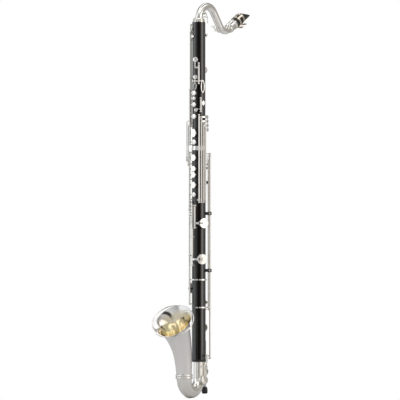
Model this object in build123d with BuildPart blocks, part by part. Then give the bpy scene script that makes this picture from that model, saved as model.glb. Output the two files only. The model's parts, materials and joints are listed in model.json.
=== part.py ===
"""Bass clarinet built down to low C, as an assembly of separate pieces.

Millimetres. +Z runs up the bore, the origin is on the bore axis at the middle joint,
the tone holes and the bell face -Y, and the player's left hand side is +X.
A bearing is counted in degrees round the bore, from the front (-Y) towards +X.
"""
import os
from math import cos, radians, sin

from build123d import *

os.makedirs("parts", exist_ok=True)

# ---- driving dimensions -------------------------------------------------------------
bore_radius = 11.75
upper_radius = 18.8          # wood of the upper joint
lower_radius = 19.6          # wood of the lower joint
upper_length = 359.0
lower_length = 609.0

ring_height = 6.0            # silver rings at the joints
ring_depth = 1.5             # let into the wood
ring_proud = 0.7             # standing out of the wood
tenon_length = 22.0          # middle tenon
tenon_radius = 15.2
cork_thickness = 0.9
cork_margin = 3.0            # bare tenon above and below a cork
tenon_gap = 0.4              # end clearance of a tenon in its socket

seat_height = 0.9            # flat tone-hole seats above the wood
seat_wall = 1.6
hole_share = 0.62            # tone hole against its cup
pad_proud = 0.7
pad_depth = 1.8
cup_height = 3.4
cup_wall = 0.8
cup_crown = 0.6              # rise of the domed top
pad_gap = 0.06               # closed pad to seat

rod_stand = 7.8              # rod axis above the wood
side_stand = 5.2             # the side keys lie closer
rod_radius = 1.2
rod_fit = 0.04               # running clearance of a hinge tube
tube_radius = 2.4
post_ball = 3.0
post_stem = 1.5
post_depth = 3.4             # thread length in the wood
tube_gap = 0.35              # hinge tube to post

arm_stand = 4.3              # inner face of an arm above the wood
arm_thickness = 1.7
arm_width = 4.2
arch_stand = 8.2             # inner face of a big cup's arm above the wood
open_angle = 7.0             # stack plates stand open by this
big_open_angle = 6.0         # low-note cups
low_c_open = 4.5

spring_radius = 0.35
spring_length = 24.0
spring_drop = 4.5            # spring below its rod axis

neck_radius = 10.4
neck_bore = 9.3
sleeve_radius = 12.0
sleeve_height = 13.0         # sleeve above the wood
neck_tenon = 23.0
neck_rise_bend = 42.0
neck_rise_turn = 141.0
neck_fall = 49.0
neck_low_bend = 35.0
neck_low_turn = 79.0
neck_end = 5.0
socket_length = 29.0
socket_radius = 13.4
collar_height = 11.0
collar_radius = 16.6

mouthpiece_length = 78.0     # out of the socket
mouthpiece_radius = 14.6
mouthpiece_shank = 20.0
mouthpiece_bore = 7.6
reed_width = 15.0
reed_thickness = 2.9

bell_tube_radius = 14.75
bell_wall = 1.3
bell_tenon = 20.0
bow_drop = 47.0              # straight tube under the wood
bow_radius = 37.0
bow_end_radius = 21.5
bell_mouth_radius = 60.0
bell_rim_radius = 1.7

peg_radius = 4.0
peg_fit = 0.15
peg_travel = 90.0
peg_stand = 30.0             # peg axis behind the bore
peg_tip_radius = 8.4
peg_tip_length = 20.0

parts_made = {}


# ---- places -------------------------------------------------------------------------
def around(angle, radius, height=0.0):
    return Vector(radius * sin(radians(angle)), -radius * cos(radians(angle)), height)


def outward(angle):
    return around(angle, 1.0)


def facing(angle, radius, height):
    """Plane that faces straight out of the body, with its x up the bore."""
    return Plane(origin=around(angle, radius, height), x_dir=(0, 0, 1), z_dir=outward(angle))


def cutting(angle, radius, height):
    """Plane through the bore axis, with its x up the bore and its y straight out."""
    side = Vector(0, 0, 1).cross(outward(angle))
    return Plane(origin=around(angle, radius, height), x_dir=(0, 0, 1), z_dir=side)


def side_view(y, z):
    """Plane of the neck and the bell, its x towards the back and its y upwards."""
    return Plane(origin=(0, y, z), x_dir=(0, 1, 0), z_dir=(1, 0, 0))


def wood_radius(height):
    return upper_radius if height > 0 else lower_radius


def write(piece, name):
    piece.part.label = name
    export_step(piece.part, f"parts/{name}.step")
    parts_made[name] = piece.part


# ---- small shapes that the keys and posts are made of -------------------------------
def hinge_tube(angle, radius, low, high):
    with BuildPart() as tube:
        with BuildSketch(Plane.XY.offset(low)):
            with Locations(around(angle, radius)):
                Circle(tube_radius)
        extrude(amount=high - low)
    return tube.part


def strap(start, end, inner, height, width=arm_width, thickness=arm_thickness):
    """Flat arm that follows the round of the body from one bearing to another."""
    low, high = min(start, end), max(start, end)
    with BuildPart() as arm:
        with BuildSketch(Plane.XY.offset(height - width / 2)):
            with BuildLine():
                rim = CenterArc((0, 0), inner + thickness, low - 90, high - low)
                base = CenterArc((0, 0), inner, low - 90, high - low)
                Line(rim @ 0, base @ 0)
                Line(rim @ 1, base @ 1)
            make_face()
        extrude(amount=width)
    return arm.part


def bar(points, radius):
    """Round wire through the points, with rounded corners and ends."""
    spots = [Vector(*spot) if isinstance(spot, tuple) else spot for spot in points]
    with BuildPart() as wire:
        for start, end in zip(spots, spots[1:]):
            with BuildSketch(Plane(origin=start, z_dir=end - start)):
                Circle(radius)
            extrude(amount=(end - start).length)
        with Locations(*spots):
            Sphere(radius + 0.04)
    return wire.part


def cup(angle, radius, height, diameter):
    """Pad cup, open towards the bore, with its rim at this radius."""
    rim = diameter / 2
    crown = cup_height + cup_crown
    middle = (rim - 1.3) / 2
    dome = (4 * middle ** 2 + cup_crown ** 2) / (2 * cup_crown)
    drop = dome - (dome ** 2 - middle ** 2) ** 0.5
    plane = cutting(angle, radius, height)
    with BuildPart() as shell:
        with BuildSketch(plane):
            with BuildLine():
                Polyline((0, pad_depth), (rim - cup_wall, pad_depth), (rim - cup_wall, 0), (rim, 0),
                         (rim, cup_height - 1.2))
                ThreePointArc((rim, cup_height - 1.2), (rim - 0.4, cup_height - 0.4),
                              (rim - 1.3, cup_height))
                ThreePointArc((rim - 1.3, cup_height), (middle, crown - drop), (0, crown))
                Line((0, crown), (0, pad_depth))
            make_face()
        revolve(axis=Axis(plane.origin, outward(angle)))
    return shell.part


def pad(angle, radius, height, diameter):
    """Pad that fills a cup and stands a little proud of its rim."""
    with BuildPart() as disc_of_felt:
        with BuildSketch(facing(angle, radius - pad_proud, height)):
            Circle(diameter / 2 - cup_wall)
        extrude(amount=pad_proud + pad_depth)
        fillet(disc_of_felt.edges().sort_by(Axis((0, 0, 0), outward(angle)))[0], 0.5)
    return disc_of_felt.part


def touch(angle, radius, height, length, width, turn=0.0, thickness=1.7):
    """Rounded finger piece that faces outwards, its length up the bore before its turn."""
    plane = facing(angle, radius, height).rotated((0, 0, turn))
    with BuildPart() as plate:
        with BuildSketch(plane):
            Ellipse(length / 2, width / 2)
        extrude(amount=thickness)
        fillet(plate.faces().sort_by(Axis(plane.origin, plane.z_dir))[-1].edges(), thickness * 0.45)
    return plate.part


def tongue(start, end, radius, height, length, width, turn=0.0):
    """Arm and touch of a little-finger lever."""
    return [strap(start, end, radius, height), touch(end, radius + 0.3, height, length, width, turn)]


def loop(angle, radius, height, length, width, rail, thickness=1.8):
    """Open oval finger loop."""
    plane = facing(angle, radius, height)
    with BuildPart() as ring:
        with BuildSketch(plane):
            Ellipse(length / 2, width / 2)
            Ellipse(length / 2 - rail, width / 2 - rail, mode=Mode.SUBTRACT)
        extrude(amount=thickness)
        fillet(ring.faces().sort_by(Axis(plane.origin, plane.z_dir))[-1].edges(), thickness * 0.3)
    return ring.part


def cup_rim(height):
    """Radius of a closed cup's rim on the wood at this height."""
    return wood_radius(height) + seat_height + pad_gap + pad_proud


def key(name, rod, low, high, pieces, rest_turn=0.0):
    """One rigid key on its hinge tube, turned about its rod to where it stands at rest."""
    angle, radius = rod
    with BuildPart() as metal:
        add(hinge_tube(angle, radius, low, high))
        add(pieces)
        with BuildSketch(Plane.XY.offset(low - 1)):
            with Locations(around(angle, radius)):
                Circle(rod_radius + rod_fit)
        extrude(amount=high - low + 2, mode=Mode.SUBTRACT)
    with BuildPart() as turned:
        add(metal.part.rotate(Axis(around(angle, radius), (0, 0, 1)), rest_turn))
    write(turned, name)


# ---- rods: bearing, radius, and the heights of the posts that carry them --------------
upper_rod = upper_radius + rod_stand
side_rod = upper_radius + side_stand
lower_rod = lower_radius + rod_stand
long_rod = max(upper_rod, lower_rod)
foot = -lower_length

stack_angle = -40.0
rods = {
    "upper_stack": (stack_angle, upper_rod, [166, 117, 64, ring_height + 4]),
    "throat_a": (34.0, upper_rod, [241, 184]),
    "cross": (47.0, upper_rod, [142, 104]),
    "register": (205.0, upper_rod, [334, 172]),
    "side_1": (-60.0, side_rod, [330, 200, 72]),
    "side_2": (-76.0, side_rod, [352, 200, 62]),
    "left_1": (36.0, long_rod, [94, -154]),
    "left_2": (50.0, long_rod, [82, -154]),
    "left_3": (64.0, long_rod, [70, -154]),
    "left_4": (78.0, long_rod, [58, -154]),
    "lower_stack": (stack_angle, lower_rod, [-12, -45, -89, -146, -184]),
    "fs": (8.0, lower_rod, [-164, -227]),
    "f": (-9.0, lower_rod, [-164, -253, -334]),
    "eb": (stack_angle, lower_rod, [-191, -306, -385, -444]),
    "thumb_c": (124.0, lower_radius + 12.4, [-16, foot + ring_height + 4]),
    "thumb_d": (150.0, lower_radius + 11.4, [-36, -460]),
    "thumb_cs": (212.0, lower_radius + 9.4, [-46, -536]),
}


def rod(name):
    return rods[name][:2]


def carried(name, height):
    """A post inside the span of a long hinge tube carries the tube, not the rod."""
    spans = {"side_1": [200], "side_2": [200], "f": [-253], "eb": [-306, -385]}
    return height in spans.get(name, [])


post_list = [(name, angle, radius, height)
             for name, (angle, radius, heights) in rods.items() for height in heights]


# ---- tone holes: bearing, height, cup diameter ---------------------------------------
upper_holes = [
    (8, 251.7, 15), (8, 201.5, 13), (0, 156.5, 14.5), (0, 141.5, 10.5), (0, 123.7, 13.5),
    (0, 89.8, 14.5), (0, 42.8, 17), (0, 17.1, 15), (125, 322, 9.5), (-28, 318, 12), (-44, 340, 12),
    (12, 108, 10),
]
lower_holes = [
    (0, -27.6, 16), (0, -59.3, 15), (0, -76.5, 14.5), (0, -105.5, 16), (0, -132.5, 13.5),
    (72, -214, 29), (60, -316.6, 30), (-88, -400, 28), (178, -440, 21), (178, -512, 24),
]


def seat_tool(angle, height, diameter, radius):
    with BuildPart() as boss:
        with BuildSketch(facing(angle, bore_radius + 2, height)):
            Circle(diameter / 2 - seat_wall / 2)
        extrude(amount=radius + seat_height - bore_radius - 2)
    return boss.part


def hole_tool(angle, height, diameter):
    with BuildPart() as drill:
        with BuildSketch(facing(angle, 0, height)):
            Circle(diameter / 2 * hole_share)
        extrude(amount=40)
    return drill.part


def post_drill(angle, height, radius):
    with BuildPart() as drill:
        with BuildSketch(facing(angle, radius - post_depth, height)):
            Circle(post_stem)
        extrude(amount=post_depth + 5)
    return drill.part


throat_gs_angle = 8.0
throat_gs_height = 190.0
throat_gs_reach = 6.0        # from the middle of the key to each post


def saddle_plane(side):
    """Where a post of the throat G sharp key stands, straight out beside the key."""
    middle = facing(throat_gs_angle, upper_radius - post_depth, throat_gs_height)
    return Plane(origin=middle.origin + middle.y_dir * side * throat_gs_reach,
                 x_dir=middle.x_dir, z_dir=middle.z_dir)


# ---- wood ---------------------------------------------------------------------------
def wood_joint(low, high, radius, holes, posts):
    with BuildPart() as joint:
        with BuildSketch(Plane.XY.offset(low)):
            Circle(radius)
        extrude(amount=high - low)
        add([seat_tool(angle, height, size, radius) for angle, height, size in holes])
        with BuildSketch(Plane.XY.offset(low - 1)):
            Circle(bore_radius)
        extrude(amount=high - low + 2, mode=Mode.SUBTRACT)
        for tool in [hole_tool(angle, height, size) for angle, height, size in holes]:
            add(tool, mode=Mode.SUBTRACT)
        for tool in [post_drill(angle, height, radius) for angle, height in posts]:
            add(tool, mode=Mode.SUBTRACT)
    return joint.part


def disc(low, high, radius):
    with BuildPart() as body:
        with BuildSketch(Plane.XY.offset(low)):
            Circle(radius)
        extrude(amount=high - low)
    return body.part


def sleeve(low, high, inner, outer):
    with BuildPart() as body:
        with BuildSketch(Plane.XY.offset(low)):
            Circle(outer)
            Circle(inner, mode=Mode.SUBTRACT)
        extrude(amount=high - low)
    return body.part


tenon_socket = tenon_radius + cork_thickness
neck_socket_radius = sleeve_radius + cork_thickness
bell_socket = bell_tube_radius + cork_thickness

upper_wood = wood_joint(0, upper_length, upper_radius, upper_holes,
                        [(a, h) for n, a, r, h in post_list if h > 0])
saddle_drills = []
for side in (-1, 1):
    with BuildPart() as saddle_drill:
        with BuildSketch(saddle_plane(side)):
            Circle(post_stem)
        extrude(amount=post_depth + 5)
    saddle_drills.append(saddle_drill.part)

with BuildPart() as upper_joint:
    add(upper_wood)
    add(sleeve(-tenon_length, 1, bore_radius, tenon_radius))
    add(sleeve(-1, ring_height, upper_radius - ring_depth, upper_radius + 2), mode=Mode.SUBTRACT)
    add(disc(upper_length - neck_tenon - tenon_gap, upper_length + 1, neck_socket_radius),
        mode=Mode.SUBTRACT)
    for drill in saddle_drills:
        add(drill, mode=Mode.SUBTRACT)
write(upper_joint, "upper_joint")

lower_wood = wood_joint(foot, 0, lower_radius, lower_holes,
                        [(a, h) for n, a, r, h in post_list if h < 0])
with BuildPart() as lower_joint:
    add(lower_wood)
    add(disc(-tenon_length - tenon_gap, 1, tenon_socket), mode=Mode.SUBTRACT)
    add(disc(foot - 1, foot + bell_tenon + tenon_gap, bell_socket), mode=Mode.SUBTRACT)
    for low in (-ring_height, foot):
        add(sleeve(low, low + ring_height, lower_radius - ring_depth, lower_radius + 2),
            mode=Mode.SUBTRACT)
write(lower_joint, "lower_joint")


# ---- rings, collar and corks ---------------------------------------------------------
def joint_ring(name, low, radius):
    with BuildPart() as ring:
        with BuildSketch(Plane.XY.offset(low)):
            Circle(radius + ring_proud)
            Circle(radius - ring_depth, mode=Mode.SUBTRACT)
        extrude(amount=ring_height)
        outer = ring.faces().filter_by(GeomType.CYLINDER).sort_by(SortBy.AREA)[-1]
        fillet(outer.edges(), 0.6)
    write(ring, name)


joint_ring("upper_ring", 0, upper_radius)
joint_ring("lower_ring", -ring_height, lower_radius)
joint_ring("bottom_ring", foot, lower_radius)

with BuildPart() as top_collar:
    with BuildSketch(side_view(0, upper_length)):
        with BuildLine():
            Polyline((sleeve_radius + 0.1, 0), (collar_radius, 0), (collar_radius, 2.2))
            ThreePointArc((collar_radius, 2.2), (collar_radius + 0.9, 3.6), (collar_radius, 5.0))
            Line((collar_radius, 5.0), (collar_radius - 1.6, 6.0))
            ThreePointArc((collar_radius - 1.6, 6.0), (collar_radius - 0.6, 7.6),
                          (collar_radius - 1.6, 9.2))
            Polyline((collar_radius - 1.6, 9.2), (collar_radius - 2.6, collar_height),
                     (sleeve_radius + 0.1, collar_height), (sleeve_radius + 0.1, 0))
        make_face()
    revolve(axis=Axis.Z)
write(top_collar, "top_collar")


# ---- neck ---------------------------------------------------------------------------
neck_base = upper_length - neck_tenon
neck_bend_start = upper_length + 4

with BuildPart() as neck_tube:
    with BuildLine(Plane.YZ) as neck_path:
        rise = Line((0, neck_base), (0, neck_bend_start))
        crown = JernArc(rise @ 1, rise % 1, neck_rise_bend, -neck_rise_turn)
        fall = PolarLine(crown @ 1, neck_fall, direction=crown % 1)
        dip = JernArc(fall @ 1, fall % 1, neck_low_bend, neck_low_turn)
        climb = PolarLine(dip @ 1, neck_end, direction=dip % 1)
    with BuildSketch(Plane.XY.offset(neck_base)):
        Circle(neck_radius)
    sweep()
    add(sleeve(neck_base, upper_length + sleeve_height, neck_bore, sleeve_radius))
neck_outside = neck_tube.part
mouth_start = neck_path.wires()[0] @ 1
fall_end = fall @ 1
mouth_way = (neck_path.wires()[0] % 1).normalized()
neck_up = Vector(1, 0, 0).cross(mouth_way)


def along_neck(distance, rise_by=0.0, sideways=0.0):
    """Point measured from the end of the neck tube, along the mouthpiece axis and above it."""
    return mouth_start + mouth_way * distance + neck_up * rise_by + Vector(sideways, 0, 0)


def mouth_plane(distance):
    """Plane across the mouthpiece axis, its y upwards."""
    return Plane(origin=along_neck(distance), x_dir=(-1, 0, 0), z_dir=mouth_way)


mouth_side = Plane(origin=mouth_start, x_dir=mouth_way, z_dir=(1, 0, 0))

neck_key_angle = 125.0
neck_key_height = upper_length + 26.0
neck_key_pivot = upper_length + collar_height + 4.0
neck_key_stand = 23.5
neck_key_seat = 15.2

water_pivot = Vector(0, 91.0, upper_length - 21.5)
dip_turn = radians(neck_rise_turn - 90)
dip_centre = fall_end + Vector(0, sin(dip_turn), cos(dip_turn)) * neck_low_bend
water_out = Vector(0, -cos(radians(52)), -sin(radians(52)))
water_seat = dip_centre + water_out * (neck_low_bend + neck_radius + 1.6)


def lug(start, end, width=3.0):
    """Short post with a ball, soldered to a tube."""
    with BuildPart() as piece:
        with BuildSketch(Plane(origin=start, z_dir=end - start)):
            Circle(width / 2)
        extrude(amount=(end - start).length)
        with Locations(end):
            Sphere(2.2)
    return piece.part


def pin_tool(middle, direction, half, radius):
    with BuildPart() as pin:
        with BuildSketch(Plane(origin=middle - direction * half, z_dir=direction)):
            Circle(radius)
        extrude(amount=2 * half)
    return pin.part


neck_key_way = Vector(cos(radians(neck_key_angle)), sin(radians(neck_key_angle)), 0)
neck_key_axis = around(neck_key_angle, neck_key_stand, neck_key_pivot)
small_pin = 0.9
small_half = 7.0
neck_lugs = [lug(around(neck_key_angle, neck_radius - 2.4, neck_key_pivot) + neck_key_way * side * 5.5,
                 neck_key_axis + neck_key_way * side * 5.5) for side in (-1, 1)]
water_way = Vector(1, 0, 0)
water_root = water_pivot + Vector(0, 14, 11)
water_lugs = [lug(water_root + water_way * side * 5.5, water_pivot + water_way * side * 5.5)
              for side in (-1, 1)]

with BuildPart() as neck_chimney:
    with BuildSketch(facing(neck_key_angle, 4, neck_key_height)):
        Circle(3.6)
    extrude(amount=neck_key_seat - 4)
with BuildPart() as water_chimney:
    with BuildSketch(Plane(origin=water_seat - water_out * 6, z_dir=water_out)):
        Circle(3.2)
    extrude(amount=6)
with BuildPart() as chimney_bores:
    with BuildSketch(facing(neck_key_angle, 4, neck_key_height)):
        Circle(2.0)
    extrude(amount=20)
    with BuildSketch(Plane(origin=water_seat - water_out * 8, z_dir=water_out)):
        Circle(1.8)
    extrude(amount=10)
with BuildPart() as neck_inside:
    with BuildLine(Plane.YZ):
        inner_rise = Line((0, neck_base - 1), (0, neck_bend_start))
        inner_crown = JernArc(inner_rise @ 1, inner_rise % 1, neck_rise_bend, -neck_rise_turn)
        inner_fall = PolarLine(inner_crown @ 1, neck_fall, direction=inner_crown % 1)
        inner_dip = JernArc(inner_fall @ 1, inner_fall % 1, neck_low_bend, neck_low_turn)
        PolarLine(inner_dip @ 1, neck_end + 1, direction=inner_dip % 1)
    with BuildSketch(Plane.XY.offset(neck_base - 1)):
        Circle(neck_bore)
    sweep()

with BuildPart() as neck:
    add(neck_outside)
    add(neck_lugs)
    add(water_lugs)
    add(neck_chimney.part)
    add(water_chimney.part)
    add(neck_inside.part, mode=Mode.SUBTRACT)
    add(chimney_bores.part, mode=Mode.SUBTRACT)
    add(pin_tool(neck_key_axis, neck_key_way, 20, small_pin), mode=Mode.SUBTRACT)
    add(pin_tool(water_pivot, water_way, 20, small_pin), mode=Mode.SUBTRACT)
write(neck, "neck_tube")

with BuildPart() as neck_socket:
    with BuildSketch(mouth_side):
        with BuildLine():
            Polyline((-neck_end + 1, neck_radius), (-neck_end + 1, neck_radius + 1.4),
                     (0, neck_radius + 2.4), (2, socket_radius + 1.4), (5, socket_radius + 1.4),
                     (6, socket_radius), (socket_length - 6, socket_radius),
                     (socket_length - 5, socket_radius + 1.6), (socket_length - 1, socket_radius + 1.6),
                     (socket_length, socket_radius + 0.8), (socket_length, socket_radius - 1.4),
                     (1, socket_radius - 1.4), (0, neck_bore), (0, neck_radius),
                     (-neck_end + 1, neck_radius))
        make_face()
    revolve(axis=Axis(mouth_start, mouth_way))
write(neck_socket, "neck_socket")


# ---- mouthpiece, reed and ligature ---------------------------------------------------
socket_inner = socket_radius - 1.4
shank_start = socket_length - mouthpiece_shank
tip = socket_length + mouthpiece_length
shank_radius = socket_inner - cork_thickness
table_depth = 11.2           # flat table under the mouthpiece axis
beak_start = socket_length + mouthpiece_length * 0.52
bore_end = socket_length + 42.0
window_length = 36.0
window_depth = 6.5
tip_rail = 4.0
ligature_start = socket_length + 12.0
ligature_length = 26.0
band_width = 6.5

with BuildPart() as mouthpiece:
    with BuildSketch(mouth_side):
        with BuildLine():
            Polyline((shank_start, 0), (shank_start, shank_radius), (socket_length + 0.2, shank_radius),
                     (socket_length + 0.2, mouthpiece_radius - 0.6),
                     (socket_length + 1.0, mouthpiece_radius), (beak_start, mouthpiece_radius - 0.2),
                     (tip, mouthpiece_radius - 2.2), (tip, 0), (shank_start, 0))
        make_face()
    revolve(axis=Axis(mouth_start, mouth_way))
    with BuildSketch(mouth_side):
        with BuildLine():
            Polyline((ligature_start - 3, -table_depth), (tip + 1, -table_depth),
                     (tip + 1, -mouthpiece_radius - 2), (ligature_start - 3, -mouthpiece_radius - 2),
                     (ligature_start - 3, -table_depth))
        make_face()
    extrude(amount=30, both=True, mode=Mode.SUBTRACT)
    with BuildSketch(mouth_side):
        with BuildLine():
            ThreePointArc((beak_start, mouthpiece_radius + 0.5),
                          ((beak_start + tip) / 2 - 4, 4.4), (tip, -table_depth + 1.6))
            Polyline((tip, -table_depth + 1.6), (tip + 2, -table_depth + 1.6),
                     (tip + 2, mouthpiece_radius + 2), (beak_start, mouthpiece_radius + 0.5))
        make_face()
    extrude(amount=30, both=True, mode=Mode.SUBTRACT)
    with BuildSketch(mouth_plane(shank_start - 1)):
        Circle(mouthpiece_bore)
    extrude(amount=bore_end - shank_start + 1, mode=Mode.SUBTRACT)
    with BuildSketch(Plane(origin=along_neck(tip - window_length / 2 - tip_rail, -table_depth - 1),
                           x_dir=mouth_way, z_dir=neck_up)):
        Rectangle(window_length, reed_width - 4)
    extrude(amount=window_depth + 1, mode=Mode.SUBTRACT)
write(mouthpiece, "mouthpiece")

with BuildPart() as reed:
    with BuildSketch(mouth_side):
        with BuildLine():
            Polyline((ligature_start - 2, -table_depth), (tip - 0.6, -table_depth),
                     (tip - 0.6, -table_depth - 0.25), (tip - 30, -table_depth - reed_thickness),
                     (ligature_start - 2, -table_depth - reed_thickness),
                     (ligature_start - 2, -table_depth))
        make_face()
    extrude(amount=reed_width / 2, both=True)
    with BuildSketch(mouth_plane(ligature_start - 10)):
        Circle(mouthpiece_radius - 0.1)
    extrude(amount=tip, mode=Mode.INTERSECT)
write(reed, "reed")

ligature_inner = mouthpiece_radius + 0.05
ligature_wall = 1.0
screw_drop = ligature_inner + 3.2
screw_spots = [ligature_start + band_width / 2, ligature_start + ligature_length - band_width / 2]

with BuildPart() as ligature:
    for spot in screw_spots:
        with BuildSketch(mouth_plane(spot - band_width / 2)):
            Circle(ligature_inner + ligature_wall)
        extrude(amount=band_width)
        with BuildSketch(Plane(origin=along_neck(spot, -screw_drop, -7), x_dir=mouth_way, z_dir=(1, 0, 0))):
            Circle(2.6)
        extrude(amount=5)
        with BuildSketch(Plane(origin=along_neck(spot, -screw_drop, 2), x_dir=mouth_way, z_dir=(1, 0, 0))):
            Circle(2.6)
        extrude(amount=5)
    with BuildSketch(mouth_plane(ligature_start)):
        with PolarLocations(ligature_inner + ligature_wall / 2, 4, start_angle=0, angular_range=180):
            Rectangle(ligature_wall, 5)
    extrude(amount=ligature_length)
    with BuildSketch(mouth_plane(ligature_start - 1)):
        Circle(ligature_inner)
    extrude(amount=ligature_length + 2, mode=Mode.SUBTRACT)
    for spot in screw_spots:
        with BuildSketch(Plane(origin=along_neck(spot, -screw_drop, -9), x_dir=mouth_way, z_dir=(1, 0, 0))):
            Circle(1.25)
        extrude(amount=20, mode=Mode.SUBTRACT)
    with BuildSketch(Plane(origin=along_neck(0, 0, -2), x_dir=mouth_way, z_dir=(1, 0, 0))):
        with Locations((ligature_start + ligature_length / 2, -screw_drop)):
            Rectangle(ligature_length + 2, 12)
    extrude(amount=4, mode=Mode.SUBTRACT)
write(ligature, "ligature")

for number, spot in enumerate(screw_spots, start=1):
    with BuildPart() as ligature_screw:
        with BuildSketch(Plane(origin=along_neck(spot, -screw_drop, -7.5), x_dir=mouth_way,
                               z_dir=(1, 0, 0))):
            Circle(1.2)
        extrude(amount=18)
        with BuildSketch(Plane(origin=along_neck(spot, -screw_drop, 10), x_dir=mouth_way,
                               z_dir=(1, 0, 0))):
            Ellipse(4.4, 2.2)
        extrude(amount=7)
        fillet(ligature_screw.faces().sort_by(Axis.X)[-1].edges(), 0.8)
    write(ligature_screw, f"ligature_screw_{number}")

with BuildPart() as joint_corks:
    add(sleeve(-tenon_length + cork_margin, -cork_margin, tenon_radius, tenon_socket))
    add(sleeve(neck_base + cork_margin, upper_length - cork_margin, sleeve_radius, neck_socket_radius))
    add(sleeve(foot + cork_margin, foot + bell_tenon - cork_margin, bell_tube_radius, bell_socket))
    with BuildSketch(mouth_plane(shank_start + 1)):
        Circle(socket_inner)
        Circle(shank_radius, mode=Mode.SUBTRACT)
    extrude(amount=mouthpiece_shank - 3)
write(joint_corks, "joint_corks")


# ---- bell ---------------------------------------------------------------------------
bow_start = foot - bow_drop
bow_steps = 6
ring_centre = Vector(0, -2 * bow_radius, bow_start)


def bow_section(share, radius):
    """Plane and radius at a share of the way round the bow."""
    turn = radians(180 * share)
    origin = Vector(0, -bow_radius * (1 - cos(turn)), bow_start - bow_radius * sin(turn))
    way = Vector(0, -sin(turn), -cos(turn))
    return Plane(origin=origin, x_dir=(1, 0, 0), z_dir=way), radius


def bow_tube(shrink):
    with BuildPart() as tube:
        for step in range(bow_steps + 1):
            share = step / bow_steps
            plane, radius = bow_section(share, bell_tube_radius + (bow_end_radius - bell_tube_radius)
                                        * share)
            with BuildSketch(plane):
                Circle(radius - shrink)
        loft()
    return tube.part


low_c_angle = 80.0
low_c_height = foot - 51.0
low_c_pivot = foot - 14.0
low_c_diameter = 25.0
low_c_seat = bell_tube_radius + 3.0
low_c_stand = bell_tube_radius + 12.5
low_c_axis = around(low_c_angle, low_c_stand, low_c_pivot)
low_c_way = Vector(cos(radians(low_c_angle)), sin(radians(low_c_angle)), 0)
bell_lugs = [lug(around(low_c_angle, bell_tube_radius - 2.4, low_c_pivot) + low_c_way * side * 6.5,
                 low_c_axis + low_c_way * side * 6.5) for side in (-1, 1)]

with BuildPart() as bell_bow:
    add(bow_tube(0))
    add(disc(bow_start, foot + bell_tenon, bell_tube_radius))
    add(bell_lugs)
    with BuildSketch(facing(low_c_angle, 3, low_c_height)):
        Circle(low_c_diameter / 2 - 1.2)
    extrude(amount=low_c_seat - 3)
    add(bow_tube(bell_wall), mode=Mode.SUBTRACT)
    add(disc(bow_start - 0.01, foot + bell_tenon + 1, bell_tube_radius - bell_wall), mode=Mode.SUBTRACT)
    with BuildSketch(facing(low_c_angle, 3, low_c_height)):
        Circle(low_c_diameter / 2 - 2.6)
    extrude(amount=30, mode=Mode.SUBTRACT)
    add(pin_tool(low_c_axis, low_c_way, 20, rod_radius), mode=Mode.SUBTRACT)
write(bell_bow, "bell_bow")

ring_bore = bow_end_radius + 0.7
with BuildPart() as bell_ring:
    with BuildSketch(side_view(ring_centre.Y, bow_start)):
        with BuildLine():
            Polyline((ring_bore, 0), (ring_bore + 1.0, 0))
            ThreePointArc((ring_bore + 1.0, 0), (ring_bore + 2.6, 3), (ring_bore + 1.0, 6))
            Line((ring_bore + 1.0, 6), (ring_bore + 1.0, 7))
            ThreePointArc((ring_bore + 1.0, 7), (ring_bore + 2.6, 10), (ring_bore + 1.0, 13))
            Polyline((ring_bore + 1.0, 13), (ring_bore, 13), (ring_bore, 0))
        make_face()
    revolve(axis=Axis((0, ring_centre.Y, 0), (0, 0, 1)))
write(bell_ring, "bell_ring")

# y and z of the bell's middle line from the ring, its lean forward from upright, its radius
bell_stations = [
    (0.0, 0.0, 0.0, bow_end_radius), (0.0, 14.0, 2.0, bow_end_radius + 0.6),
    (-3.0, 44.0, 7.0, bow_end_radius + 2.6), (-10.5, 80.0, 16.0, bow_end_radius + 6.0),
    (-24.5, 114.0, 29.0, bow_end_radius + 11.8), (-38.0, 138.0, 38.0, bow_end_radius + 18.4),
    (-49.0, 154.5, 45.0, bow_end_radius + 27.4), (-56.5, 165.0, 48.0, bell_mouth_radius),
]


def bell_plane(station, past=0.0):
    y, z, lean, radius = station
    way = Vector(0, -sin(radians(lean)), cos(radians(lean)))
    return Plane(origin=ring_centre + Vector(0, y, z) + way * past, x_dir=(1, 0, 0), z_dir=way)


def bell_body(shrink):
    with BuildPart() as body:
        for station in bell_stations:
            with BuildSketch(bell_plane(station)):
                Circle(station[3] - shrink)
        loft()
    return body.part


mouth_station = bell_stations[-1]
with BuildPart() as bell_flare:
    add(bell_body(0))
    add(bell_body(bell_wall), mode=Mode.SUBTRACT)
    with Locations(bell_plane(mouth_station, -0.15).rotated((0, 0, 17))):
        Torus(bell_mouth_radius - bell_wall / 2 + 0.1, bell_rim_radius)
write(bell_flare, "bell_flare")


# ---- floor peg ----------------------------------------------------------------------
peg_holder_low = foot - 41.0
peg_holder_high = foot - 2.0
peg_end = foot - 72.0        # end of the steel shaft inside the rubber tip
peg_engaged = 10.0           # left in the holder when the peg is right out
peg_length = peg_travel + peg_holder_low - peg_end + peg_engaged
peg_wall = 2.6
peg_screw_height = peg_holder_low + 12.0

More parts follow.
